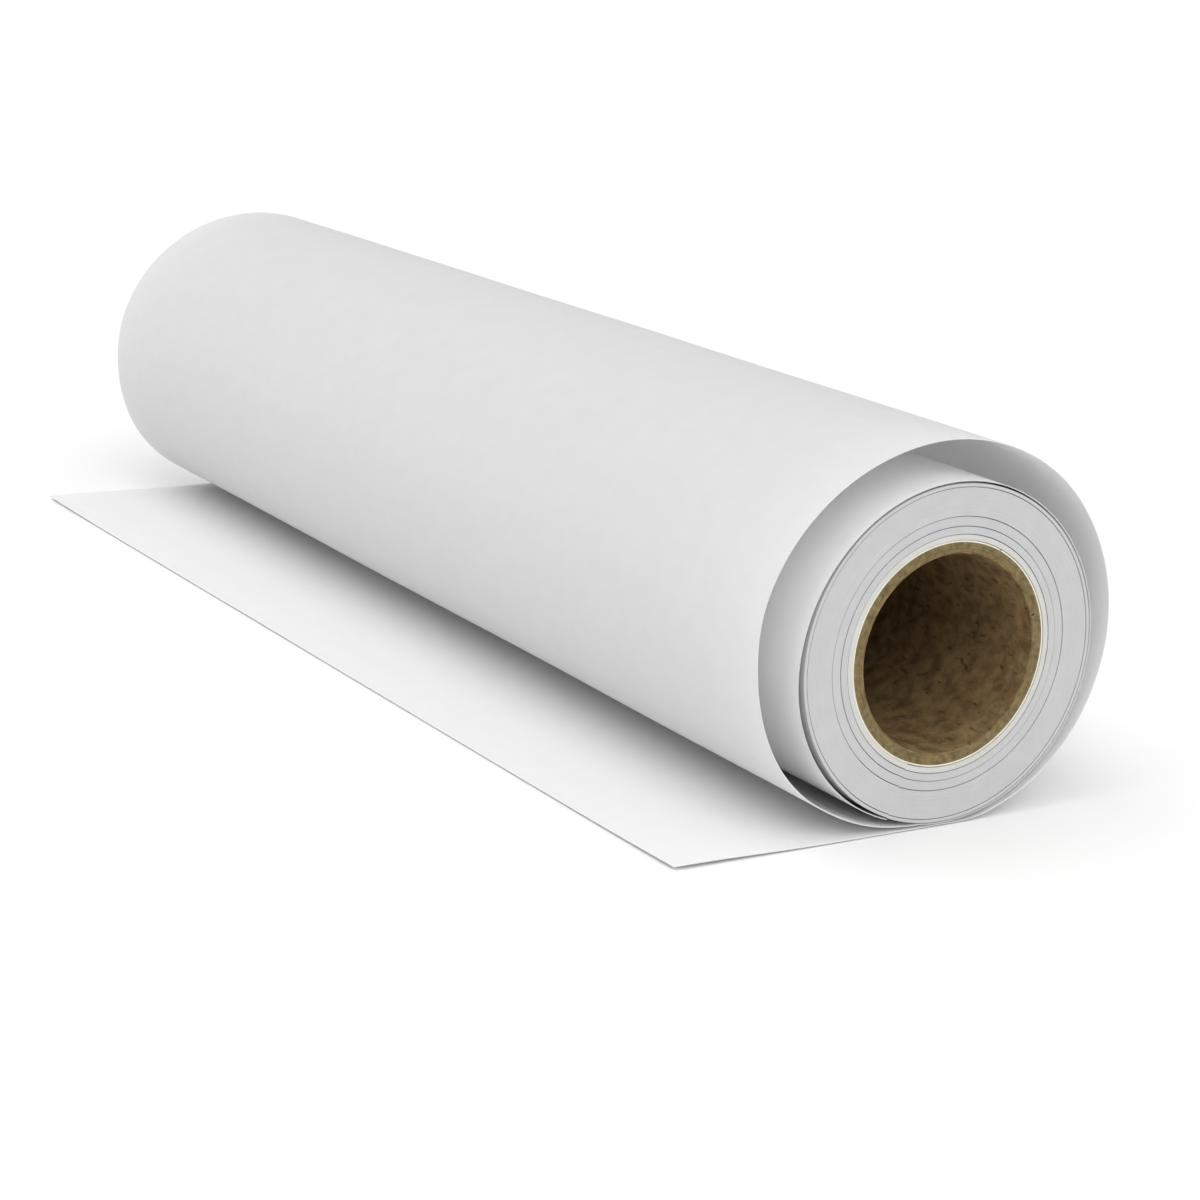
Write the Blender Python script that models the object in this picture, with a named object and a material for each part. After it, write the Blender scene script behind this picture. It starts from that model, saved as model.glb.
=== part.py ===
"""A roll of white background paper on a paperboard core, lying on the floor.

The paper is wound on a spiral-wound core tube. Its outermost turn has sprung loose
and its free end lies flat beside the roll. The roll lies along X, its middle at x = 0,
its axis over y = 0, and the floor is z = 0. The free end points to -Y. Metres throughout.

Followed from outside to inside, the paper starts at the free edge, runs flat under the
roll, up its +Y side, over the top, down its -Y side and in under the roll again. There it
lies on the wound paper as the second turn. All of it lies in layers with a small gap.
"""

import math

import bmesh
import bpy
from mathutils import Matrix, Vector

# --- driving dimensions -------------------------------------------------------------

ROLL_WIDTH = 0.610          # width of the paper, the length of the roll
ROLL_DIAMETER = 0.129       # over the tightly wound paper
CORE_BORE = 0.0762          # inside diameter of the core
CORE_WALL = 0.0048          # whole wall of the core
LINER_WALL = 0.0004         # brown paper that lines the bore
WRAP_WALL = 0.0004          # smooth paper around the outside of the core
PLY_COUNT = 3               # board plies between liner and wrap
PAPER = 0.0004              # thickness of the loose paper
GAP = 0.0003                # clearance between neighbours

TAIL_LENGTH = 0.116         # free edge to the line below the roll's axis
TAIL_FOLD = 0.060           # distance from that line to where the free end lifts
CONTACT_PATCH = 0.006       # how far the paper stays flat past the line below the axis
LIFT_OFF = 0.001            # flat start of the outer turn beyond that

TAPE_WALL = 0.0003          # double-sided tape that holds the first turn to the core
TAPE_WIDTH = 0.024
TAPE_LENGTH = 0.560

SEGMENTS = 72               # flats around every tube
SHEET_STEP = 5.0            # degrees between the lines of a curved sheet

# The wound paper shows a line wherever its tension changed. Each band is given by its
# name, where it ends on the way from the core (0) to the outside (1), and how far its
# ends stand back from the widest turns.
BANDS = (
    ("first_turns", 0.095, 0.0004),
    ("inner_turns", 0.235, 0.0002),
    ("middle_turns", 0.410, 0.0004),
    ("main_winding", 0.925, 0.0002),
    ("last_turns", 1.000, 0.0),
)
CORE_SETBACK = 0.0007       # how far the core's ends stand back

# Slack of the loose outer turn at the +X end: (degrees turned since the floor, metres).
OUTER_SLACK = ((0, 0.0), (60, 0.0046), (150, 0.0130), (195, 0.0165), (250, 0.0210),
               (270, 0.0188), (293, 0.0156), (326, 0.0063), (345, 0.0013), (352, 0.0))
OUTER_END = 352.0           # where the outer turn meets the second turn, degrees
FAR_SLACK = 0.69            # share of that slack left at the -X end

# Slack of the second turn: (degrees turned since its start, metres).
SECOND_SLACK = ((0, 0.0), (120, 0.0004), (230, 0.0010), (278, 0.0026), (300, 0.0022),
                (330, 0.0012), (346, 0.0))
SECOND_END = 346.0          # length of the second turn, degrees

# --- sizes that follow --------------------------------------------------------------

ROLL_RADIUS = ROLL_DIAMETER / 2
BORE_RADIUS = CORE_BORE / 2
CORE_RADIUS = BORE_RADIUS + CORE_WALL
PLY_WALL = (CORE_WALL - LINER_WALL - WRAP_WALL - (PLY_COUNT + 1) * GAP) / PLY_COUNT
PAPER_START = CORE_RADIUS + GAP             # radius where the wound paper starts
SHEET_PITCH = PAPER + GAP                   # one loose layer and the gap below it
AXIS_Z = 2 * SHEET_PITCH + ROLL_RADIUS      # two loose layers lie under the roll
END_X = ROLL_WIDTH / 2
SECOND_RADIUS = ROLL_RADIUS + GAP + PAPER / 2   # middle of the second turn's sheet
FLOOR_RADIUS = AXIS_Z - PAPER / 2               # middle of the sheet below the roll


# --- helpers ------------------------------------------------------------------------

def clear_scene():
    for obj in list(bpy.data.objects):
        bpy.data.objects.remove(obj, do_unlink=True)


def make_material(name, color, roughness):
    material = bpy.data.materials.new(name)
    material.use_nodes = True
    shader = material.node_tree.nodes["Principled BSDF"]
    shader.inputs["Base Color"].default_value = (*color, 1.0)
    shader.inputs["Roughness"].default_value = roughness
    shader.inputs["Metallic"].default_value = 0.0
    return material


def add_object(name, bm, material, parent, origin=(0.0, 0.0, 0.0)):
    """Turns the bmesh, drawn in world space, into an object with its own origin."""
    bm.transform(Matrix.Translation(-Vector(origin)))
    bmesh.ops.recalc_face_normals(bm, faces=bm.faces)
    mesh = bpy.data.meshes.new(name)
    bm.to_mesh(mesh)
    bm.free()
    mesh.shade_smooth()
    mesh.set_sharp_from_angle(angle=math.radians(30))
    mesh.materials.append(material)
    obj = bpy.data.objects.new(name, mesh)
    bpy.context.collection.objects.link(obj)
    obj.parent = parent
    obj.location = Vector(origin) - parent.location
    return obj


def add_empty(name, location):
    empty = bpy.data.objects.new(name, None)
    empty.location = location
    bpy.context.collection.objects.link(empty)
    return empty


def smooth_value(table, at):
    """Reads a table of (place, value) through a curve that never overshoots it."""
    places = [row[0] for row in table]
    values = [row[1] for row in table]
    steps = [b - a for a, b in zip(places, places[1:])]
    slopes = [(b - a) / h for a, b, h in zip(values, values[1:], steps)]
    tangents = [slopes[0]]
    for before, after in zip(slopes, slopes[1:]):
        same_way = before * after > 0
        tangents.append(2 * before * after / (before + after) if same_way else 0.0)
    tangents.append(slopes[-1])
    at = min(max(at, places[0]), places[-1])
    i = max(k for k in range(len(steps)) if places[k] <= at)
    h = steps[i]
    t = (at - places[i]) / h
    return ((1 + 2 * t) * (1 - t) ** 2 * values[i] + t * (1 - t) ** 2 * h * tangents[i]
            + t * t * (3 - 2 * t) * values[i + 1] + t * t * (t - 1) * h * tangents[i + 1])


def around_axis(radius, turned):
    """The (y, z) point that lies turned degrees past the bottom, counted towards +Y."""
    angle = math.radians(turned)
    return (radius * math.sin(angle), AXIS_Z - radius * math.cos(angle))


def bridge(bm, rings, closed_ring):
    """Joins each ring of vertices to the next, and the last to the first."""
    count = len(rings[0])
    spans = count if closed_ring else count - 1
    for ring, following in zip(rings, rings[1:] + rings[:1]):
        for i in range(spans):
            j = (i + 1) % count
            bm.faces.new((ring[i], ring[j], following[j], following[i]))


def tube_mesh(inner, outer, half_length, start=0.0, sweep=360.0):
    """A tube around the roll's axis, or a slice of one that sweeps less than a turn."""
    whole = sweep >= 360.0
    steps = SEGMENTS if whole else max(2, round(SEGMENTS * sweep / 360.0))
    count = steps if whole else steps + 1
    turned = [start + sweep * i / steps for i in range(count)]
    bm = bmesh.new()
    corners = ((inner, -half_length), (outer, -half_length),
               (outer, half_length), (inner, half_length))
    rings = []
    for radius, x in corners:
        rings.append([bm.verts.new((x, *around_axis(radius, t))) for t in turned])
    bridge(bm, rings, whole)
    if not whole:
        bm.faces.new([ring[0] for ring in rings])
        bm.faces.new([ring[-1] for ring in rings])
    return bm


def offset_line(points, distance):
    """Moves an open line of (y, z) points sideways, to its left as it runs."""
    moved = []
    last = len(points) - 1
    for i, (y, z) in enumerate(points):
        before = points[max(i - 1, 0)]
        after = points[min(i + 1, last)]
        along = Vector((after[0] - before[0], after[1] - before[1])).normalized()
        moved.append((y - along.y * distance, z + along.x * distance))
    return moved


def sheet_mesh(near_line, far_line=None):
    """A sheet of paper whose middle follows one line at +X and, if given, another at -X."""
    far_line = far_line or near_line
    bm = bmesh.new()
    half = PAPER / 2
    sections = ((-END_X, offset_line(far_line, half)), (END_X, offset_line(near_line, half)),
                (END_X, offset_line(near_line, -half)), (-END_X, offset_line(far_line, -half)))
    rings = []
    for x, line in sections:
        rings.append([bm.verts.new((x, y, z)) for y, z in line])
    bridge(bm, rings, False)
    bm.faces.new([ring[0] for ring in rings])
    bm.faces.new([ring[-1] for ring in rings])
    return bm


def steps_between(start, end):
    count = math.ceil((end - start) / SHEET_STEP)
    return [start + (end - start) * i / count for i in range(count + 1)]


def flat_line(start, end):
    """Middle line of paper that lies flat on the floor from one y to another."""
    return [(start, PAPER / 2), (end, PAPER / 2)]


def outer_line(slack_share):
    """Middle line of the loose outer turn, from where it leaves the floor once around."""
    line = flat_line(CONTACT_PATCH + GAP, CONTACT_PATCH + LIFT_OFF)
    first = math.degrees(math.asin(line[-1][0] / FLOOR_RADIUS)) + SHEET_STEP / 2
    for turned in steps_between(first, OUTER_END):
        inward = (FLOOR_RADIUS - SECOND_RADIUS) * max(0.0, turned / OUTER_END * 2 - 1)
        slack = smooth_value(OUTER_SLACK, turned) * slack_share
        line.append(around_axis(FLOOR_RADIUS - inward + slack, turned))
    return line


def second_line(slack_share):
    """Middle line of the second turn, which lies on the wound paper."""
    line = []
    start = OUTER_END + math.degrees(GAP / SECOND_RADIUS)
    for turned in steps_between(start, OUTER_END + SECOND_END):
        slack = smooth_value(SECOND_SLACK, turned - OUTER_END) * slack_share
        line.append(around_axis(SECOND_RADIUS + slack, turned))
    return line


# --- the pieces ---------------------------------------------------------------------

def build_core(body):
    """Core tube: liner, board plies and wrap, each a tube inside the next."""
    brown = make_material("core_liner_paper", (0.22, 0.15, 0.09), 0.85)
    board = make_material("core_board", (0.30, 0.24, 0.17), 0.9)
    pale = make_material("core_wrap_paper", (0.62, 0.55, 0.42), 0.8)
    half_length = END_X - CORE_SETBACK
    layers = [("core_liner", LINER_WALL, brown)]
    for number in range(1, PLY_COUNT + 1):
        layers.append(("core_ply_%d" % number, PLY_WALL, board))
    layers.append(("core_wrap", WRAP_WALL, pale))
    inner = BORE_RADIUS
    for name, wall, material in layers:
        bm = tube_mesh(inner, inner + wall, half_length)
        add_object(name, bm, material, body, (0.0, 0.0, AXIS_Z))
        inner += wall + GAP


def build_tape(body):
    """Strip of double-sided tape between the core and the first turn, on top."""
    sweep = math.degrees(TAPE_WIDTH / CORE_RADIUS)
    inner = CORE_RADIUS + GAP
    bm = tube_mesh(inner, inner + TAPE_WALL, TAPE_LENGTH / 2, 180.0 - sweep / 2, sweep)
    clear = make_material("start_tape_film", (0.75, 0.73, 0.62), 0.4)
    add_object("start_tape", bm, clear, body, (0.0, 0.0, AXIS_Z))


def cut_tape_recess(turns, body):
    """Room for the tape in the bore of the first turns."""
    sweep = math.degrees((TAPE_WIDTH + 2 * GAP) / CORE_RADIUS)
    depth = PAPER_START + TAPE_WALL + GAP
    bm = tube_mesh(CORE_RADIUS, depth, TAPE_LENGTH / 2 + GAP, 180.0 - sweep / 2, sweep)
    cutter = add_object("tape_recess_cutter", bm, turns.data.materials[0], body,
                        (0.0, 0.0, AXIS_Z))
    cutter.hide_render = True
    cutter.display_type = "WIRE"
    recess = turns.modifiers.new("tape_recess", "BOOLEAN")
    recess.operation = "DIFFERENCE"
    recess.object = cutter


def build_winding(bodies):
    """Wound paper as bands that can slip along each other."""
    paper = make_material("wound_paper", (0.80, 0.80, 0.79), 0.7)
    first_paper = make_material("first_turn_paper", (0.82, 0.79, 0.72), 0.7)
    build_up = ROLL_RADIUS - PAPER_START
    inner = PAPER_START
    for name, ends_at, setback in BANDS:
        outer = PAPER_START + build_up * ends_at
        bm = tube_mesh(inner, outer, END_X - setback)
        material = first_paper if name == "first_turns" else paper
        turns = add_object(name, bm, material, bodies[name], (0.0, 0.0, AXIS_Z))
        if name == "first_turns":
            cut_tape_recess(turns, bodies[name])
        inner = outer + GAP


def build_loose_paper(sheet_body, tail_body):
    """The second turn, the loose outer turn, the paper under the roll and its free end."""
    white = make_material("loose_paper", (0.84, 0.84, 0.83), 0.65)
    add_object("second_turn", sheet_mesh(second_line(1.0), second_line(FAR_SLACK)),
               white, sheet_body)
    add_object("outer_turn", sheet_mesh(outer_line(1.0), outer_line(FAR_SLACK)),
               white, sheet_body)
    under_roll = flat_line(-TAIL_FOLD + GAP / 2, CONTACT_PATCH)
    add_object("tail_root", sheet_mesh(under_roll), white, sheet_body)
    free_end = flat_line(-TAIL_LENGTH, -TAIL_FOLD - GAP / 2)
    add_object("tail_end", sheet_mesh(free_end), white, tail_body,
               (0.0, -TAIL_FOLD, PAPER / 2))


def build():
    clear_scene()
    sheet = add_empty("loose_sheet_body", (0.0, 0.0, 0.0))
    tail = add_empty("tail_body", (0.0, -TAIL_FOLD, PAPER / 2))
    roll = add_empty("wound_roll_body", (0.0, 0.0, AXIS_Z))
    middle = add_empty("middle_turns_body", (0.0, 0.0, AXIS_Z))
    inner = add_empty("inner_turns_body", (0.0, 0.0, AXIS_Z))
    core = add_empty("core_body", (0.0, 0.0, AXIS_Z))
    bodies = {"first_turns": core, "inner_turns": inner, "middle_turns": middle,
              "main_winding": roll, "last_turns": roll}
    build_core(core)
    build_tape(core)
    build_winding(bodies)
    build_loose_paper(sheet, tail)


build()
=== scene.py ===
import math

import bmesh
import bpy
import numpy as np
from mathutils import Matrix, Quaternion, Vector, noise


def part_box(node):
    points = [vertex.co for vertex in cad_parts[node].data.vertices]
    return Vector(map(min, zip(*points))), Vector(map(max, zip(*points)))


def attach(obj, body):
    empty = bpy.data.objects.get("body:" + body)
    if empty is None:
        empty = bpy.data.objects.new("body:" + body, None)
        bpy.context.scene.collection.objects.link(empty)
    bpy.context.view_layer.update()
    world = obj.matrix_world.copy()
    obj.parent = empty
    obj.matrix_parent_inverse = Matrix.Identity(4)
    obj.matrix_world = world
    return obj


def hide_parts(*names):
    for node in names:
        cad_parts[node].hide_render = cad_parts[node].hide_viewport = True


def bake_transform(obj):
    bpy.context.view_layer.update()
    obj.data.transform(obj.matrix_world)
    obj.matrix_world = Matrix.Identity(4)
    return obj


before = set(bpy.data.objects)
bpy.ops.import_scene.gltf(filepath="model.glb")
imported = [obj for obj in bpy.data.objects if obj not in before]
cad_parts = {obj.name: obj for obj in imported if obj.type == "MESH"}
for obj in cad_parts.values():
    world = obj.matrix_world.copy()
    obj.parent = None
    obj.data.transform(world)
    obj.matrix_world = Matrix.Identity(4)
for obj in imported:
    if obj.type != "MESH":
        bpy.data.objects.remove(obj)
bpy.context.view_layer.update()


# --- Core liner -----------------------------------------------------------------------
# The inside of the core is a strip of brown kraft paper, wound in a spiral on a steel
# mandrel with its edges butted. Recycled pulp leaves it mottled, with dark flecks.

MM = 0.001


def add_node(tree, kind, feeds=None, **settings):
    """Adds a node; a feed is a value, a socket, or a node whose first output is used."""
    node = tree.nodes.new(kind)
    for name, value in settings.items():
        setattr(node, name, value)
    for socket, value in (feeds or {}).items():
        if isinstance(value, bpy.types.Node):
            value = value.outputs[0]
        if isinstance(value, bpy.types.NodeSocket):
            tree.links.new(value, node.inputs[socket])
        else:
            node.inputs[socket].default_value = value
    return node


def linear(hex_colour):
    """An sRGB hex colour as linear RGBA."""
    values = [int(hex_colour[i:i + 2], 16) / 255 for i in (1, 3, 5)]
    steps = [v / 12.92 if v <= 0.04045 else ((v + 0.055) / 1.055) ** 2.4 for v in values]
    return (*steps, 1.0)


def outer_radius(node):
    low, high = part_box(node)
    return (high.y - low.y) / 2


def tree_with_inputs(name, inputs):
    """A geometry tree whose inputs are named sizes, and the sockets they come from."""
    tree = bpy.data.node_groups.new(name, "GeometryNodeTree")
    for label, kind in inputs:
        tree.interface.new_socket(label, in_out="INPUT", socket_type="NodeSocket" + kind)
    tree.interface.new_socket("Geometry", in_out="OUTPUT", socket_type="NodeSocketGeometry")
    return tree, tree.nodes.new("NodeGroupInput").outputs


def mesh_from_tree(name, tree, sizes):
    """Runs the tree with these sizes and keeps the result as one plain mesh."""
    carrier = bpy.data.objects.new(name + "_carrier", bpy.data.meshes.new(name))
    bpy.context.scene.collection.objects.link(carrier)
    modifier = carrier.modifiers.new("sizes", "NODES")
    modifier.node_group = tree
    for item in tree.interface.items_tree:
        if item.in_out == "INPUT":
            modifier[item.identifier] = sizes[item.name]
    evaluated = carrier.evaluated_get(bpy.context.evaluated_depsgraph_get())
    mesh = bpy.data.meshes.new_from_object(evaluated)
    bpy.data.objects.remove(carrier)
    return mesh


def place(name, mesh, body, stands_for, sharp_from=30.0):
    """Puts a finished mesh in the scene, on its body, in place of its CAD nodes."""
    mesh.name = name
    mesh.shade_smooth()
    mesh.set_sharp_from_angle(angle=math.radians(sharp_from))
    piece = bpy.data.objects.new(name, mesh)
    bpy.context.scene.collection.objects.link(piece)
    if body:
        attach(piece, body)
    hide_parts(*stands_for)
    return piece


liner_low, liner_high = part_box("core_liner")
AXIS_Z = (liner_low.z + liner_high.z) / 2
CORE_END = liner_high.x
BORE_RADIUS = 38.1 * MM
PLY_LEAD = 108.0 * MM       # a 100 mm strip advances this far along the tube in a turn
PLY_LEADS_BEFORE = 1.2      # leads that a strip is wound before the -X end
PLY_TURNS_SPARE = 1.5       # turns that it has beyond the core's own length
PLY_SEAM = 0.5 * MM         # gap between the edges of one strip
GLUE_LINE = 0.06 * MM       # between one strip and the next around it
HALF_CLEARANCE = 0.15 * MM  # half of the clearance between neighbouring CAD tubes
PLY_STEPS = 144             # flats in one turn of a strip

ply_tree, ply_in = tree_with_inputs("Spiral Ply", (
    ("Inner Radius", "Float"), ("Wall", "Float"), ("Lead", "Float"), ("Seam", "Float"),
    ("Turns", "Float"), ("Start", "Float"), ("Seam Angle", "Float"),
    ("Axis Height", "Float"), ("Steps", "Int"), ("Ply Material", "Material")))
strip = add_node(ply_tree, "GeometryNodeMeshCube", {
    "Size": (1.0, 1.0, 1.0), "Vertices X": ply_in["Steps"], "Vertices Y": 2,
    "Vertices Z": 2})
strip_place = add_node(ply_tree, "ShaderNodeSeparateXYZ", {
    0: add_node(ply_tree, "ShaderNodeVectorMath", {
        0: add_node(ply_tree, "GeometryNodeInputPosition"), 1: (0.5, 0.5, 0.5)},
        operation="ADD")})
turned = add_node(ply_tree, "ShaderNodeMath", {
    0: strip_place.outputs["X"], 1: ply_in["Turns"]}, operation="MULTIPLY")
angle = add_node(ply_tree, "ShaderNodeMath", {
    0: turned, 1: math.tau, 2: ply_in["Seam Angle"]}, operation="MULTIPLY_ADD")
strip_edge = add_node(ply_tree, "ShaderNodeMath", {
    0: turned, 1: ply_in["Lead"], 2: ply_in["Start"]}, operation="MULTIPLY_ADD")
strip_width = add_node(ply_tree, "ShaderNodeMath", {
    0: ply_in["Lead"], 1: ply_in["Seam"]}, operation="SUBTRACT")
axial = add_node(ply_tree, "ShaderNodeMath", {
    0: strip_place.outputs["Y"], 1: strip_width, 2: strip_edge}, operation="MULTIPLY_ADD")
radius = add_node(ply_tree, "ShaderNodeMath", {
    0: strip_place.outputs["Z"], 1: ply_in["Wall"], 2: ply_in["Inner Radius"]},
    operation="MULTIPLY_ADD")
sideways = add_node(ply_tree, "ShaderNodeMath", {
    0: radius, 1: add_node(ply_tree, "ShaderNodeMath", {0: angle}, operation="SINE")},
    operation="MULTIPLY")
downwards = add_node(ply_tree, "ShaderNodeMath", {
    0: radius, 1: add_node(ply_tree, "ShaderNodeMath", {0: angle}, operation="COSINE")},
    operation="MULTIPLY")
rolled = add_node(ply_tree, "GeometryNodeSetPosition", {
    "Geometry": strip.outputs["Mesh"],
    "Position": add_node(ply_tree, "ShaderNodeCombineXYZ", {
        "X": axial, "Y": sideways,
        "Z": add_node(ply_tree, "ShaderNodeMath", {
            0: ply_in["Axis Height"], 1: downwards}, operation="SUBTRACT")})})
covered = add_node(ply_tree, "GeometryNodeSetMaterial", {
    "Geometry": add_node(ply_tree, "GeometryNodeRealizeInstances", {"Geometry": rolled}),
    "Material": ply_in["Ply Material"]})
add_node(ply_tree, "NodeGroupOutput", {"Geometry": covered})


def wind_ply(name, node, inner, outer, seam_angle, trim, material):
    """One spiral strip of the core, wound past both ends and sawn square at trim."""
    turns = 2 * CORE_END / PLY_LEAD + PLY_TURNS_SPARE
    mesh = mesh_from_tree(name, ply_tree, {
        "Inner Radius": inner, "Wall": outer - inner, "Lead": PLY_LEAD, "Seam": PLY_SEAM,
        "Turns": turns, "Start": -CORE_END - PLY_LEAD * PLY_LEADS_BEFORE,
        "Seam Angle": math.radians(seam_angle), "Axis Height": AXIS_Z,
        "Steps": int(PLY_STEPS * turns), "Ply Material": material})
    bm = bmesh.new()
    bm.from_mesh(mesh)
    for side in (-1, 1):
        cut = bmesh.ops.bisect_plane(
            bm, geom=bm.verts[:] + bm.edges[:] + bm.faces[:], dist=1e-7,
            plane_co=(side * trim, 0, 0), plane_no=(side, 0, 0), clear_outer=True)
        rim = [e for e in cut["geom_cut"] if isinstance(e, bmesh.types.BMEdge)]
        bmesh.ops.edgeloop_fill(bm, edges=rim)
    bmesh.ops.recalc_face_normals(bm, faces=bm.faces)
    bm.to_mesh(mesh)
    bm.free()
    mesh.materials.clear()
    mesh.materials.append(material)
    return place(name, mesh, "core", [node])


def start_material(name, roughness, ior, specular):
    """A material, its principled shader and its coordinates in mm from the roll's axis."""
    material = bpy.data.materials.new(name)
    material.use_nodes = True
    tree = material.node_tree
    shader = tree.nodes["Principled BSDF"]
    shader.inputs["Roughness"].default_value = roughness
    shader.inputs["IOR"].default_value = ior
    shader.inputs["Specular IOR Level"].default_value = specular
    in_mm = add_node(tree, "ShaderNodeMapping", {
        "Vector": add_node(tree, "ShaderNodeTexCoord").outputs["Object"],
        "Location": (0.0, 0.0, -AXIS_Z / MM), "Scale": (1 / MM,) * 3})
    return material, tree, shader, in_mm


# Unbleached kraft paper, machine made: dull brown, mottled by pulp clumps a few
# millimetres across, with short dark flecks and a faintly fuzzy surface.
kraft, tree, shader, in_mm = start_material("kraft_liner_paper", 0.9, 1.45, 0.25)
clumps = add_node(tree, "ShaderNodeTexNoise", {
    "Vector": in_mm, "Scale": 1 / 6.0, "Detail": 6.0, "Roughness": 0.62})
clump_colour = add_node(tree, "ShaderNodeValToRGB", {"Fac": clumps})
clump_colour.color_ramp.elements[0].position = 0.36
clump_colour.color_ramp.elements[0].color = linear("#6c5839")
clump_colour.color_ramp.elements[1].position = 0.66
clump_colour.color_ramp.elements[1].color = linear("#9c825a")
along_strip = add_node(tree, "ShaderNodeMapping", {
    "Vector": in_mm, "Rotation": (0.0, 0.0, math.radians(23.0)),
    "Scale": (0.4, 1.0, 1.0)})
flecks = add_node(tree, "ShaderNodeTexNoise", {
    "Vector": along_strip, "Scale": 1 / 2.0, "Detail": 3.0, "Roughness": 0.5})
fleck_share = add_node(tree, "ShaderNodeMapRange", {
    "Value": flecks, "From Min": 0.60, "From Max": 0.72, "To Min": 0.0, "To Max": 0.7})
flecked = add_node(tree, "ShaderNodeMix", {
    0: fleck_share, 6: clump_colour, 7: linear("#2f2211")}, data_type="RGBA")
tree.links.new(flecked.outputs[2], shader.inputs["Base Color"])
fuzz = add_node(tree, "ShaderNodeBump", {
    "Height": flecks, "Strength": 0.6, "Distance": 0.15 * MM})
tree.links.new(fuzz.outputs[0], shader.inputs["Normal"])

LINER_SEAM = 40.0           # degrees from the bottom, towards +Y
LINER_TRIM = 0.10 * MM      # how far the saw left it behind the core's end
liner_outer = outer_radius("core_liner") + HALF_CLEARANCE
wind_ply("kraft_liner", "core_liner", BORE_RADIUS, liner_outer - GLUE_LINE / 2,
         LINER_SEAM, CORE_END - LINER_TRIM, kraft)


# --- Board plies ----------------------------------------------------------------------
# Three plies of grey-brown core board make the strength of the tube. Each is wound over
# the last with its seam somewhere else, glued, and the tube is sawn to length.

PLY_SEAMS = (165.0, 290.0, 75.0)            # degrees from the bottom, towards +Y
PLY_TRIMS = (0.02 * MM, 0.09 * MM, 0.03 * MM)   # how unevenly the saw left the plies

# Chipboard-grade core board, sawn across: grey-olive, with paler and darker pulp and
# fine fibres pulled round the cut.
board, tree, shader, in_mm = start_material("sawn_core_board", 0.95, 1.45, 0.2)
pulp = add_node(tree, "ShaderNodeTexNoise", {
    "Vector": in_mm, "Scale": 1 / 2.4, "Detail": 5.0, "Roughness": 0.65})
pulp_colour = add_node(tree, "ShaderNodeValToRGB", {"Fac": pulp})
pulp_colour.color_ramp.elements[0].position = 0.33
pulp_colour.color_ramp.elements[0].color = linear("#685c40")
pulp_colour.color_ramp.elements[1].position = 0.68
pulp_colour.color_ramp.elements[1].color = linear("#90805a")
tree.links.new(pulp_colour.outputs[0], shader.inputs["Base Color"])
sawn_fibres = add_node(tree, "ShaderNodeTexNoise", {
    "Vector": in_mm, "Scale": 1 / 0.6, "Detail": 3.0, "Roughness": 0.6})
torn = add_node(tree, "ShaderNodeBump", {
    "Height": sawn_fibres, "Strength": 0.8, "Distance": 0.12 * MM})
tree.links.new(torn.outputs[0], shader.inputs["Normal"])

ply_inner = liner_outer
for number, (seam, trim) in enumerate(zip(PLY_SEAMS, PLY_TRIMS), start=1):
    node = "core_ply_%d" % number
    ply_outer = outer_radius(node) + HALF_CLEARANCE
    wind_ply("board_ply_%d" % number, node, ply_inner + GLUE_LINE / 2,
             ply_outer - GLUE_LINE / 2, seam, CORE_END - trim, board)
    ply_inner = ply_outer


# --- Core wrap ------------------------------------------------------------------------
# The outside of the tube is finished with one strip of smooth cream paper, so that the
# white paper wound on it isn't marked. Only its cut edge shows, as a thin pale ring.

# Bleached liner paper, calendered: cream, nearly smooth, with a very fine tooth.
cream, tree, shader, in_mm = start_material("cream_wrap_paper", 0.7, 1.47, 0.35)
wrap_shade = add_node(tree, "ShaderNodeTexNoise", {
    "Vector": in_mm, "Scale": 1 / 3.0, "Detail": 4.0, "Roughness": 0.55})
wrap_colour = add_node(tree, "ShaderNodeValToRGB", {"Fac": wrap_shade})
wrap_colour.color_ramp.elements[0].position = 0.3
wrap_colour.color_ramp.elements[0].color = linear("#e6e1cd")
wrap_colour.color_ramp.elements[1].position = 0.7
wrap_colour.color_ramp.elements[1].color = linear("#f3efe0")
tree.links.new(wrap_colour.outputs[0], shader.inputs["Base Color"])
tooth = add_node(tree, "ShaderNodeBump", {
    "Height": wrap_shade, "Strength": 0.3, "Distance": 0.03 * MM})
tree.links.new(tooth.outputs[0], shader.inputs["Normal"])

CORE_RADIUS = outer_radius("core_wrap")
WRAP_SEAM = 210.0           # degrees from the bottom, towards +Y
WRAP_PROUD = 0.05 * MM      # how far it stands past the core's nominal end and outside
wrap_outer = CORE_RADIUS + WRAP_PROUD
wind_ply("cream_wrap", "core_wrap", ply_inner + GLUE_LINE / 2, wrap_outer, WRAP_SEAM,
         CORE_END + WRAP_PROUD, cream)


# --- Start tape -----------------------------------------------------------------------
# A strip of double-sided tape along the top of the core holds the first turn. It is a
# thin film with adhesive on both faces, torn off at each end on a toothed blade.

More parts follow.
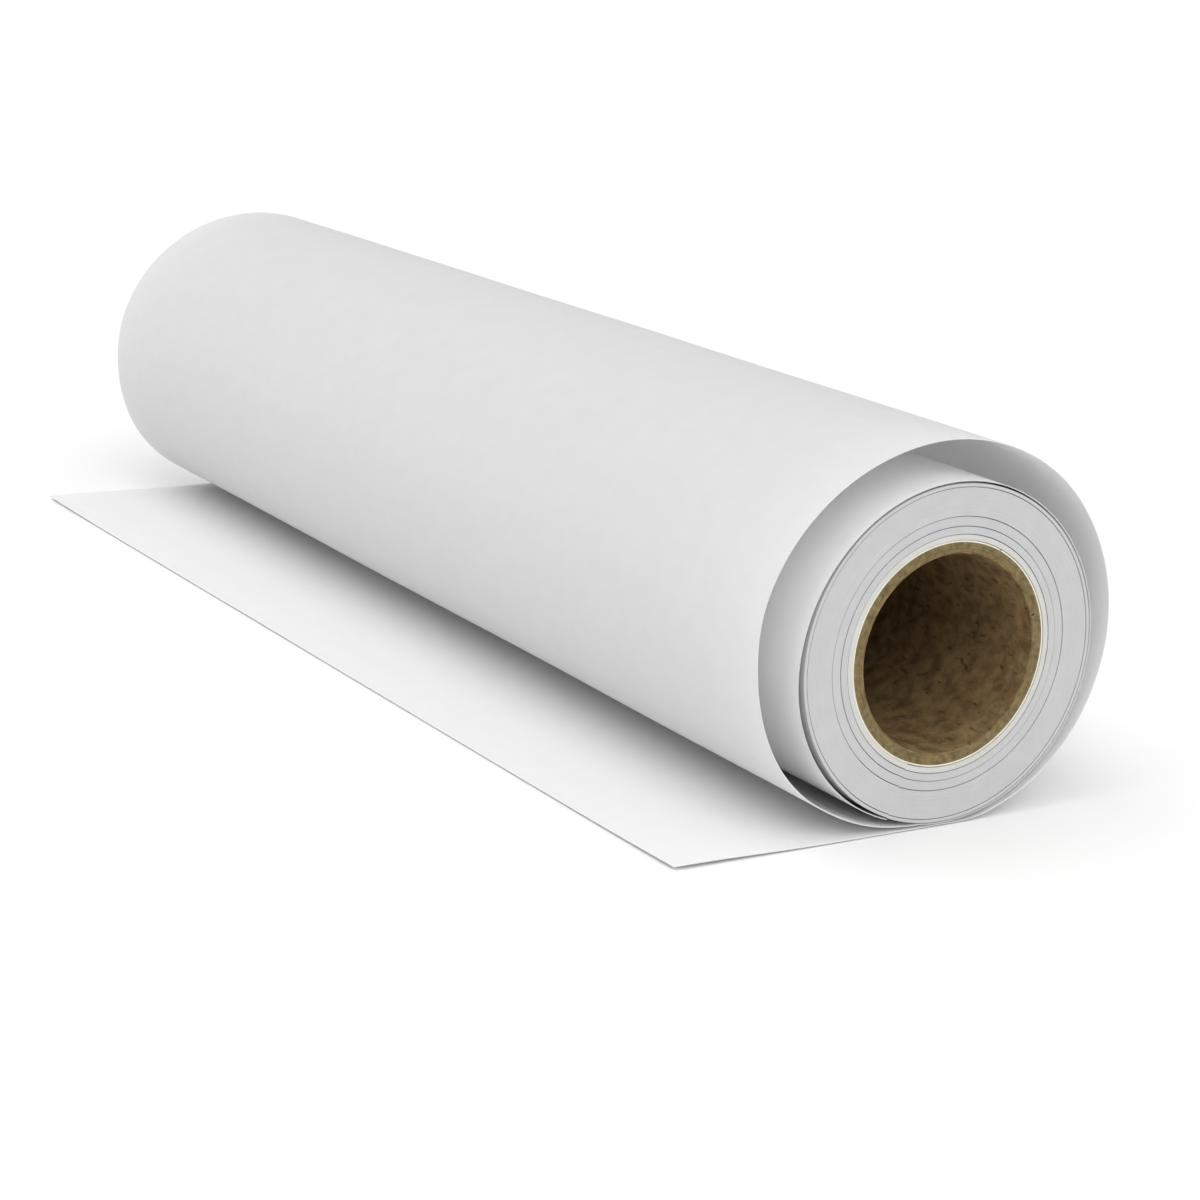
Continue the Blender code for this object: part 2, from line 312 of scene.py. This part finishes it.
def lay_sheet(name, middle, thickness, material, backed_material=None, backed_from=0):
    """A closed sheet around a grid of middle points, half its thickness to each side.
    The rows from backed_from on take the second material, if there is one."""
    middle = np.asarray(middle, float)
    rows, columns = middle.shape[:2]
    along = np.gradient(middle, axis=0)
    across = np.gradient(middle, axis=1)
    outward = np.cross(along, across)
    outward /= np.linalg.norm(outward, axis=2, keepdims=True)
    faces_out = (middle + outward * thickness / 2).reshape(-1, 3)
    faces_in = (middle - outward * thickness / 2).reshape(-1, 3)
    index = np.arange(rows * columns).reshape(rows, columns)
    corners = [index[:-1, :-1], index[1:, :-1], index[1:, 1:], index[:-1, 1:]]
    upper = np.stack(corners, axis=-1).reshape(-1, 4)
    lower = upper[:, ::-1] + rows * columns
    rim = np.concatenate([index[0, :-1], index[:-1, -1], index[-1, :0:-1], index[:0:-1, 0]])
    following = np.roll(rim, -1)
    edge = np.stack([rim, following, following + rows * columns, rim + rows * columns], 1)
    mesh = bpy.data.meshes.new(name)
    mesh.from_pydata(np.concatenate([faces_out, faces_in]).tolist(), [],
                     np.concatenate([upper, lower, edge]).tolist())
    bm = bmesh.new()
    bm.from_mesh(mesh)
    bmesh.ops.recalc_face_normals(bm, faces=bm.faces)
    bm.to_mesh(mesh)
    bm.free()
    mesh.materials.append(material)
    if backed_material:
        mesh.materials.append(backed_material)
        on_backing = np.zeros(len(mesh.polygons), np.int32)
        is_backed = np.arange(len(upper)) // (columns - 1) >= backed_from
        on_backing[:2 * len(upper)] = np.tile(is_backed, 2)
        mesh.polygons.foreach_set("material_index", on_backing)
    return mesh


def around_axis(x, radius, turned):
    """The point turned degrees past the bottom, counted towards +Y."""
    angle = math.radians(turned)
    return (x, radius * math.sin(angle), AXIS_Z - radius * math.cos(angle))


tape_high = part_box("start_tape")[1]
TAPE_THICKNESS = 0.05 * MM
TAPE_CLEARANCE = 0.015 * MM  # between the tape and the core
TAPE_TOOTH = 0.7 * MM       # depth of a tooth of the torn end
TAPE_STEPS = 40             # faces across the tape, two to a tooth
TAPE_COLUMNS = 24

# Clear polyester film with acrylic adhesive: slightly yellow, glossy where it is wetted
# out and duller where small air bubbles stay under it.
film, tree, shader, in_mm = start_material("adhesive_film", 0.3, 1.5, 0.5)
shader.inputs["Base Color"].default_value = linear("#d8d2b4")
bubbles = add_node(tree, "ShaderNodeTexVoronoi", {"Vector": in_mm, "Scale": 1 / 2.5})
bubble_roughness = add_node(tree, "ShaderNodeMapRange", {
    "Value": bubbles, "From Min": 0.1, "From Max": 0.5, "To Min": 0.5, "To Max": 0.25})
tree.links.new(bubble_roughness.outputs[0], shader.inputs["Roughness"])

tape_half_angle = math.degrees(math.asin(tape_high.y / CORE_RADIUS))
tape_radius = wrap_outer + TAPE_CLEARANCE + TAPE_THICKNESS / 2
tape_grid = []
for row in range(TAPE_STEPS + 1):
    turned = 180.0 + tape_half_angle * (2 * row / TAPE_STEPS - 1)
    end = tape_high.x - TAPE_TOOTH * (row % 2)
    tape_grid.append([
        around_axis(end * (2 * column / TAPE_COLUMNS - 1), tape_radius, turned)
        for column in range(TAPE_COLUMNS + 1)])
tape_mesh = lay_sheet("tape_strip", tape_grid, TAPE_THICKNESS, film)
place("tape_strip", tape_mesh, "core", ["start_tape"])


# --- Wound paper ----------------------------------------------------------------------
# About 85 turns of quarter-millimetre paper, wound as one long sheet. Where the winding
# tension changed, the turns stand a little further in or out and a ring shows on both
# ends. The paper comes slit to width, so every turn is a clean edge.

PAPER_PITCH = 0.25 * MM
BAND_CLEARANCE = 0.03 * MM  # between bands that can slip along each other
TAPE_ROOM = 0.10 * MM       # room for the tape below the first turn
EDGE_GROOVE = 0.025 * MM    # depth of the groove between two paper edges
EDGE_SCATTER = 0.16 * MM    # how unevenly the turns' edges stand
WELD = 0.002 * MM           # points closer than this become one
EDGE_WANDER = 0.31          # waves of that unevenness in one turn of the sheet
FAR_END_SHIFT = 57.3        # where the far end's unevenness is read, in turns
WOUND_STEPS = 160           # flats around the roll
WOUND_LEAD_OFF = 338.0      # where the sheet leaves the wound paper, degrees

band_tree, band_in = tree_with_inputs("Wound Band", (
    ("Bore Radius", "Float"), ("Pitch", "Float"), ("Turns", "Int"),
    ("Half Length", "Float"), ("Edge Scatter", "Float"), ("Groove", "Float"),
    ("Lead Off", "Float"), ("Axis Height", "Float"), ("Steps", "Int"),
    ("Seed", "Float"), ("Paper", "Material")))
# Every turn has two rows of points on each end: one in the groove, one on the crown.
rows = add_node(band_tree, "ShaderNodeMath", {
    0: band_in["Turns"], 1: 2.0, 2: 1.0}, operation="MULTIPLY_ADD")
loop = add_node(band_tree, "ShaderNodeMath", {0: rows, 1: 2.0}, operation="MULTIPLY")
grid = add_node(band_tree, "GeometryNodeMeshGrid", {
    "Size X": 1.0, "Size Y": 1.0,
    "Vertices X": add_node(band_tree, "ShaderNodeMath", {
        0: band_in["Steps"], 1: 1.0}, operation="ADD"),
    "Vertices Y": add_node(band_tree, "ShaderNodeMath", {
        0: loop, 1: 1.0}, operation="ADD")})
grid_place = add_node(band_tree, "ShaderNodeSeparateXYZ", {
    0: add_node(band_tree, "ShaderNodeVectorMath", {
        0: add_node(band_tree, "GeometryNodeInputPosition"), 1: (0.5, 0.5, 0.0)},
        operation="ADD")})
loop_row = add_node(band_tree, "ShaderNodeMath", {
    0: add_node(band_tree, "ShaderNodeMath", {
        0: add_node(band_tree, "ShaderNodeMath", {
            0: grid_place.outputs["Y"], 1: loop}, operation="MULTIPLY")},
        operation="ROUND"),
    1: loop}, operation="MODULO")
on_far_end = add_node(band_tree, "ShaderNodeMath", {
    0: loop_row, 1: add_node(band_tree, "ShaderNodeMath", {
        0: rows, 1: 0.5}, operation="SUBTRACT")}, operation="GREATER_THAN")
mirrored_row = add_node(band_tree, "ShaderNodeMath", {
    0: add_node(band_tree, "ShaderNodeMath", {0: loop, 1: 1.0}, operation="SUBTRACT"),
    1: loop_row}, operation="SUBTRACT")
row = add_node(band_tree, "ShaderNodeMix", {
    0: on_far_end, 2: loop_row, 3: mirrored_row}, data_type="FLOAT")
# Turns counted outwards along the sheet; they fall as the angle grows.
sheet_turns = add_node(band_tree, "ShaderNodeMath", {
    0: add_node(band_tree, "ShaderNodeMath", {0: row, 1: 0.5, 2: 1.0},
                operation="MULTIPLY_ADD"),
    1: grid_place.outputs["X"]}, operation="SUBTRACT")
band_radius = add_node(band_tree, "ShaderNodeMath", {
    0: sheet_turns, 1: band_in["Pitch"], 2: band_in["Bore Radius"]},
    operation="MULTIPLY_ADD")
wander = add_node(band_tree, "ShaderNodeTexNoise", {
    "W": add_node(band_tree, "ShaderNodeMath", {
        0: sheet_turns, 1: add_node(band_tree, "ShaderNodeMath", {
            0: on_far_end, 1: FAR_END_SHIFT, 2: band_in["Seed"]}, operation="MULTIPLY_ADD")},
        operation="ADD"),
    "Scale": EDGE_WANDER, "Detail": 2.0, "Roughness": 0.6}, noise_dimensions="1D")
scatter = add_node(band_tree, "ShaderNodeMath", {
    0: add_node(band_tree, "ShaderNodeMath", {0: wander, 1: 0.5}, operation="SUBTRACT"),
    1: band_in["Edge Scatter"]}, operation="MULTIPLY")
in_groove = add_node(band_tree, "ShaderNodeMath", {
    0: 1.0, 1: add_node(band_tree, "ShaderNodeMath", {0: row, 1: 2.0},
                        operation="MODULO")}, operation="SUBTRACT")
groove = add_node(band_tree, "ShaderNodeMath", {
    0: in_groove, 1: band_in["Groove"]}, operation="MULTIPLY")
edge_height = add_node(band_tree, "ShaderNodeMath", {
    0: add_node(band_tree, "ShaderNodeMath", {
        0: band_in["Half Length"], 1: scatter}, operation="ADD"),
    1: groove}, operation="SUBTRACT")
edge_side = add_node(band_tree, "ShaderNodeMath", {
    0: on_far_end, 1: -2.0, 2: 1.0}, operation="MULTIPLY_ADD")
band_angle = add_node(band_tree, "ShaderNodeMath", {
    0: grid_place.outputs["X"], 1: math.tau, 2: band_in["Lead Off"]},
    operation="MULTIPLY_ADD")
band_y = add_node(band_tree, "ShaderNodeMath", {
    0: band_radius, 1: add_node(band_tree, "ShaderNodeMath", {0: band_angle},
                                operation="SINE")}, operation="MULTIPLY")
band_drop = add_node(band_tree, "ShaderNodeMath", {
    0: band_radius, 1: add_node(band_tree, "ShaderNodeMath", {0: band_angle},
                                operation="COSINE")}, operation="MULTIPLY")
band_shape = add_node(band_tree, "GeometryNodeSetPosition", {
    "Geometry": grid.outputs["Mesh"],
    "Position": add_node(band_tree, "ShaderNodeCombineXYZ", {
        "X": add_node(band_tree, "ShaderNodeMath", {
            0: edge_height, 1: edge_side}, operation="MULTIPLY"),
        "Y": band_y,
        "Z": add_node(band_tree, "ShaderNodeMath", {
            0: band_in["Axis Height"], 1: band_drop}, operation="SUBTRACT")})})
joined = add_node(band_tree, "GeometryNodeMergeByDistance", {
    "Geometry": band_shape, "Distance": WELD})
papered = add_node(band_tree, "GeometryNodeSetMaterial", {
    "Geometry": add_node(band_tree, "GeometryNodeRealizeInstances", {"Geometry": joined}),
    "Material": band_in["Paper"]})
add_node(band_tree, "NodeGroupOutput", {"Geometry": papered})


def wind_band(name, node, body, inner, outer, seed, material):
    """Several turns of the sheet as one solid, with the sheet's step inside and out."""
    turns = round((outer - inner) / PAPER_PITCH) - 1
    mesh = mesh_from_tree(name, band_tree, {
        "Bore Radius": inner, "Pitch": (outer - inner) / (turns + 1), "Turns": turns,
        "Half Length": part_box(node)[1].x, "Edge Scatter": EDGE_SCATTER,
        "Groove": EDGE_GROOVE,
        "Lead Off": math.radians(WOUND_LEAD_OFF), "Axis Height": AXIS_Z,
        "Steps": WOUND_STEPS, "Seed": seed, "Paper": material})
    bm = bmesh.new()
    bm.from_mesh(mesh)
    open_edges = [e for e in bm.edges if e.is_boundary]
    bmesh.ops.edgeloop_fill(bm, edges=open_edges)
    bmesh.ops.recalc_face_normals(bm, faces=bm.faces)
    bm.to_mesh(mesh)
    bm.free()
    mesh.materials.clear()
    mesh.materials.append(material)
    return place(name, mesh, body, [node], sharp_from=50.0)


def paper_material(name, pale, shaded, edge_lines=0.0, light_through=0.0):
    """White matte paper with a fine tooth; edge_lines shades the single turns on an
    end, and light_through is the share of light that one face lets into the sheet.
    Tooth and edge lines are drawn coarser than real ones, which would not show."""
    material, tree, shader, in_mm = start_material(name, 0.72, 1.47, 0.3)
    cloudy = add_node(tree, "ShaderNodeTexNoise", {
        "Vector": in_mm, "Scale": 1 / 9.0, "Detail": 5.0, "Roughness": 0.6})
    shade = add_node(tree, "ShaderNodeMapRange", {
        "Value": cloudy, "From Min": 0.3, "From Max": 0.7, "To Min": 0.0, "To Max": 0.5})
    if edge_lines:
        from_axis = add_node(tree, "ShaderNodeVectorMath", {
            0: add_node(tree, "ShaderNodeVectorMath", {
                0: in_mm, 1: (0.0, 1.0, 1.0)}, operation="MULTIPLY")},
            operation="LENGTH")
        turn_shade = add_node(tree, "ShaderNodeTexNoise", {
            "W": from_axis.outputs["Value"], "Scale": 1 / 0.8, "Detail": 3.0,
            "Roughness": 0.7}, noise_dimensions="1D")
        shade = add_node(tree, "ShaderNodeMath", {
            0: shade, 1: add_node(tree, "ShaderNodeMapRange", {
                "Value": turn_shade, "From Min": 0.35, "From Max": 0.75,
                "To Min": 0.0, "To Max": edge_lines})}, operation="ADD")
    colour = add_node(tree, "ShaderNodeMix", {
        0: shade, 6: linear(pale), 7: linear(shaded)}, data_type="RGBA")
    tree.links.new(colour.outputs[2], shader.inputs["Base Color"])
    paper_tooth = add_node(tree, "ShaderNodeTexNoise", {
        "Vector": in_mm, "Scale": 1 / 0.45, "Detail": 3.0, "Roughness": 0.6})
    felt = add_node(tree, "ShaderNodeBump", {
        "Height": paper_tooth, "Strength": 0.35, "Distance": 0.04 * MM})
    tree.links.new(felt.outputs[0], shader.inputs["Normal"])
    if light_through:
        through = add_node(tree, "ShaderNodeBsdfTranslucent", {"Color": colour.outputs[2]})
        mixed = add_node(tree, "ShaderNodeMixShader", {
            0: light_through, 1: shader, 2: through})
        tree.links.new(mixed.outputs[0], tree.nodes["Material Output"].inputs["Surface"])
    return material


# Bleached wood-free paper seen edge on: matte, and a touch greyer than its faces,
# because light is lost between the turns. Next to the core it has yellowed a little.
first_paper = paper_material("core_side_paper_edges", "#d9d8d4", "#c9c8c3", 0.30)
wound_paper = paper_material("wound_paper_edges", "#cccccc", "#c2c2c4", 0.30)

SHEET_CLEARANCE = 0.3 * MM  # between neighbouring pieces of the CAD
BANDS = (       # name, CAD node, body, seed, paper and slot, from the core outwards
    ("wound_first_turns", "first_turns", "core", 3.0, first_paper, "first_turn_paper"),
    ("wound_inner_turns", "inner_turns", "inner_turns", 14.0, wound_paper, "wound_paper"),
    ("wound_middle_turns", "middle_turns", "middle_turns", 25.0, wound_paper,
     "wound_paper"),
    ("wound_main_turns", "main_winding", "wound_roll", 36.0, wound_paper, "wound_paper"),
    ("wound_last_turns", "last_turns", "wound_roll", 47.0, wound_paper, "wound_paper"),
)
band_inner = wrap_outer + TAPE_ROOM
for name, node, body, seed, material, slot in BANDS:
    band_outer = outer_radius(node)
    if node != "last_turns":
        band_outer += (SHEET_CLEARANCE - BAND_CLEARANCE) / 2
    wind_band(name, node, body, band_inner, band_outer, seed, material)
    band_inner = band_outer + BAND_CLEARANCE


# --- Loose turns ----------------------------------------------------------------------
# The last two turns of the sheet. The outer one has sprung open, most at the near end,
# and the one beneath still lies on the roll. Followed from outside to inside, the sheet
# comes from under the roll and goes up the far side, over the top and down again.

ROLL_RADIUS = outer_radius("last_turns")
SHEET_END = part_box("outer_turn")[1].x
CAD_PAPER = 0.4 * MM        # the sheet's middle lies half of this above the floor
PAPER_THICKNESS = 0.3 * MM
SECOND_RADIUS = ROLL_RADIUS + SHEET_CLEARANCE + CAD_PAPER / 2
FLOOR_RADIUS = AXIS_Z - CAD_PAPER / 2
BUTT_Y = -8.0 * MM          # under the roll, where the free end is joined on
FLOOR_ROWS = 7              # rows of the sheet that lie on the floor
TURN_UP = 5.0               # degrees past the bottom where the sheet leaves the floor
SETTLED = 24.0              # degrees past the bottom where it has left it fully
FLATTENED = 0.35            # share of its height that it has where it leaves it
OUTER_END = 352.0           # where the outer turn becomes the second turn
SHEET_STOP = 698.0          # where the second turn ends, under the roll
FAR_SLACK = 0.69            # share of the slack that is left at the far end
OUTER_SLACK = ((0, 0.0), (60, 4.6), (150, 13.0), (195, 16.5), (250, 21.0), (270, 18.8),
               (293, 15.6), (326, 6.3), (345, 1.3), (352, 0.0))     # degrees, mm
SECOND_SLACK = ((0, 0.0), (120, 0.2), (230, 0.4), (262, 1.1), (290, 2.0), (310, 1.8),
                (330, 1.0), (346, 0.0))
RIPPLE = 0.35 * MM          # natural unevenness of the loose turn
RIPPLE_LENGTH = 110.0 * MM  # along the roll
RIPPLE_SWEEP = 34.0         # degrees around it
RIPPLE_SLACK = 8.0 * MM     # slack at which it is fully there
RIPPLE_SEED = 3.7
SHEET_STEP = 2.0            # degrees between rows of the sheet
SHEET_COLUMNS = 48


def smooth_value(table, at):
    """Reads a table of (place, value) through a curve that never overshoots it."""
    places = [row[0] for row in table]
    values = [row[1] for row in table]
    steps = [b - a for a, b in zip(places, places[1:])]
    slopes = [(b - a) / h for a, b, h in zip(values, values[1:], steps)]
    tangents = [slopes[0]]
    for before, after in zip(slopes, slopes[1:]):
        same_way = before * after > 0
        tangents.append(2 * before * after / (before + after) if same_way else 0.0)
    tangents.append(slopes[-1])
    at = min(max(at, places[0]), places[-1])
    i = max(k for k in range(len(steps)) if places[k] <= at)
    h = steps[i]
    t = (at - places[i]) / h
    return ((1 + 2 * t) * (1 - t) ** 2 * values[i] + t * (1 - t) ** 2 * h * tangents[i]
            + t * t * (3 - 2 * t) * values[i + 1] + t * t * (t - 1) * h * tangents[i + 1])


def ease(share):
    share = min(max(share, 0.0), 1.0)
    return share * share * (3 - 2 * share)


def loose_radius(turned, share, x):
    """Distance of the sheet's middle from the axis, with its slight natural ripple."""
    if turned <= OUTER_END:
        inward = (FLOOR_RADIUS - SECOND_RADIUS) * max(0.0, turned / OUTER_END * 2 - 1)
        slack = smooth_value(OUTER_SLACK, turned) * MM * share
        place_in_noise = Vector((x / RIPPLE_LENGTH, turned / RIPPLE_SWEEP, RIPPLE_SEED))
        ripple = noise.noise(place_in_noise) * RIPPLE * min(1.0, slack / RIPPLE_SLACK)
        return FLOOR_RADIUS - inward + slack + ripple
    slack = smooth_value(SECOND_SLACK, turned - OUTER_END) * MM * share
    return SECOND_RADIUS + slack


sheet_angles = list(np.arange(TURN_UP, SHEET_STOP, SHEET_STEP)) + [SHEET_STOP]
sheet_columns = [SHEET_END * (2 * i / SHEET_COLUMNS - 1) for i in range(SHEET_COLUMNS + 1)]
turn_up_y = FLOOR_RADIUS * math.sin(math.radians(TURN_UP))
sheet_grid = [[(x, y, CAD_PAPER / 2) for x in sheet_columns]
              for y in np.linspace(BUTT_Y, turn_up_y, FLOOR_ROWS, endpoint=False)]
for turned in sheet_angles:
    lifted = ease((turned - TURN_UP) / (SETTLED - TURN_UP))
    height_share = FLATTENED + (1 - FLATTENED) * lifted
    line = []
    for x in sheet_columns:
        share = FAR_SLACK + (1 - FAR_SLACK) * (x + SHEET_END) / (2 * SHEET_END)
        point = Vector(around_axis(x, loose_radius(turned, share, x), turned))
        point.z = CAD_PAPER / 2 + (point.z - CAD_PAPER / 2) * height_share
        line.append(point)
    sheet_grid.append(line)

# Bleached wood-free paper: matte and neutral, with a fine tooth and the faintest
# cloudiness where the pulp is uneven. A single free layer glows with the light that
# comes through it. Where the sheet lies on something, that light is thrown back.
free_layer = paper_material("paper_single_layer", "#f5f5f5", "#f0f0f0", light_through=0.36)
backed_layer = paper_material("paper_on_backing", "#f2f2f2", "#eeeeee")
backed_from = FLOOR_ROWS + sum(turned < OUTER_END for turned in sheet_angles)
loose_mesh = lay_sheet("loose_turns", sheet_grid, PAPER_THICKNESS, free_layer,
                       backed_layer, backed_from)
loose_turns = place("loose_turns", loose_mesh, "loose_sheet",
                    ["outer_turn", "second_turn"], sharp_from=60.0)


# --- Free end -------------------------------------------------------------------------
# The sheet's free end lies on the floor beside the roll, cut square. It is the same
# paper; its edge and corners keep a trace of curl from the winding.

tail_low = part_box("tail_end")[0]
TAIL_ROWS = 60
TAIL_COLUMNS = 96
BUTT_GAP = 0.02 * MM        # between it and the loose turns' sheet
CURL_FROM = 45.0 * MM       # distance from the roll's axis where the curl starts
CURL = 0.9 * MM             # how far the corners stand off the floor
CORNER_POWER = 6            # how closely the curl keeps to the corners
SWELL = 0.35 * MM           # height of the slight waves along the edge
SWELL_LENGTH = 90.0 * MM    # of those waves, along the roll
SWELL_WIDTH = 50.0 * MM     # and across it
SWELL_SEED = 8.1
tail_grid = []
for y in np.linspace(tail_low.y, BUTT_Y - BUTT_GAP, TAIL_ROWS + 1):
    to_edge = ease((-y - CURL_FROM) / (-tail_low.y - CURL_FROM))
    line = []
    for j in range(TAIL_COLUMNS + 1):
        x = SHEET_END * (2 * j / TAIL_COLUMNS - 1)
        to_corner = abs(x / SHEET_END) ** CORNER_POWER
        wave = noise.noise(Vector((x / SWELL_LENGTH, y / SWELL_WIDTH, SWELL_SEED)))
        lift = to_edge * (CURL * to_corner + SWELL * (1 + wave) / 2)
        line.append((x, y, CAD_PAPER / 2 + lift))
    tail_grid.append(line)
tail_mesh = lay_sheet("free_end", tail_grid, PAPER_THICKNESS, backed_layer)
free_end = place("free_end", tail_mesh, None, ["tail_root", "tail_end"],
                 sharp_from=60.0)
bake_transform(free_end)


# --- Studio ---------------------------------------------------------------------------
# A pale seamless floor, a white surround, and seven broad soft lights: the strongest high
# in front and at the right, where it reaches into the core, and weaker ones around them.

STUDIO_RADIUS = 14.0        # metres; its edge shows only from below about 11 degrees
FLOOR_DROP = 0.5 * MM       # between the floor and the paper

floor_bm = bmesh.new()
bmesh.ops.create_circle(floor_bm, cap_ends=True, segments=96, radius=STUDIO_RADIUS,
                        matrix=Matrix.Translation((0.0, 0.0, -FLOOR_DROP)))
floor_mesh = bpy.data.meshes.new("studio_floor")
floor_bm.to_mesh(floor_mesh)
floor_bm.free()
floor = bpy.data.objects.new("studio_floor", floor_mesh)
bpy.context.scene.collection.objects.link(floor)
# Matte white paint on a smooth floor, with the faintest unevenness.
floor_paint, tree, shader, in_mm = start_material("floor_paint", 0.9, 1.45, 0.1)
floor_cloud = add_node(tree, "ShaderNodeTexNoise", {
    "Vector": in_mm, "Scale": 1 / 400.0, "Detail": 2.0})
floor_colour = add_node(tree, "ShaderNodeMix", {
    0: floor_cloud, 6: linear("#fdfdfd"), 7: linear("#fafafa")}, data_type="RGBA")
tree.links.new(floor_colour.outputs[2], shader.inputs["Base Color"])
floor_mesh.materials.append(floor_paint)

world = bpy.data.worlds.new("white_surround")
bpy.context.scene.world = world
world.use_nodes = True
surround = world.node_tree.nodes["Background"]
surround.inputs["Color"].default_value = (1.0, 1.0, 1.0, 1.0)
surround.inputs["Strength"].default_value = 0.50

LIGHTS = (      # name, azimuth, elevation, width of the source in degrees, strength
    ("front_high", 0.0, 68.0, 50.0, 0.75),
    ("front_left", -40.0, 50.0, 60.0, 0.20),
    ("front_right", 20.0, 50.0, 60.0, 0.15),
    ("front_low", 10.0, 15.0, 30.0, 0.10),
    ("right", 68.0, 42.0, 36.0, 0.75),
    ("right_low", 115.0, 18.0, 40.0, 0.15),
    ("behind", 160.0, 50.0, 70.0, 0.40),
)
LIGHT_DISTANCE = 2.0        # metres, only to find them by: their light is parallel
for name, azimuth, elevation, width, strength in LIGHTS:
    lamp = bpy.data.lights.new(name, "SUN")
    lamp.angle = math.radians(width)
    lamp.energy = strength
    light = bpy.data.objects.new(name, lamp)
    round_floor, up = math.radians(azimuth), math.radians(elevation)
    towards = Vector((math.sin(round_floor) * math.cos(up),
                      -math.cos(round_floor) * math.cos(up), math.sin(up)))
    light.location = towards * LIGHT_DISTANCE
    light.rotation_mode = "QUATERNION"
    light.rotation_quaternion = (-towards).to_track_quat("-Z", "Y")
    bpy.context.scene.collection.objects.link(light)

# The camera that was fitted to the photograph: place, direction, roll, lens and shift.
CAMERA_AT = Vector((1.2168, -0.6952, 0.3909))
CAMERA_FORWARD = Vector((-0.83573, 0.49145, -0.24501))
CAMERA_ROLL = 1.88          # degrees
camera_data = bpy.data.cameras.new("camera")
camera_data.lens = 96.75
camera_data.shift_x = 0.0167
camera_data.shift_y = -0.0467
camera = bpy.data.objects.new("camera", camera_data)
camera.location = CAMERA_AT
camera.rotation_mode = "QUATERNION"
camera.rotation_quaternion = (CAMERA_FORWARD.to_track_quat("-Z", "Y")
                              @ Quaternion((0, 0, 1), math.radians(CAMERA_ROLL)))
bpy.context.scene.collection.objects.link(camera)
bpy.context.scene.camera = camera
bpy.context.scene.view_settings.view_transform = "Standard"
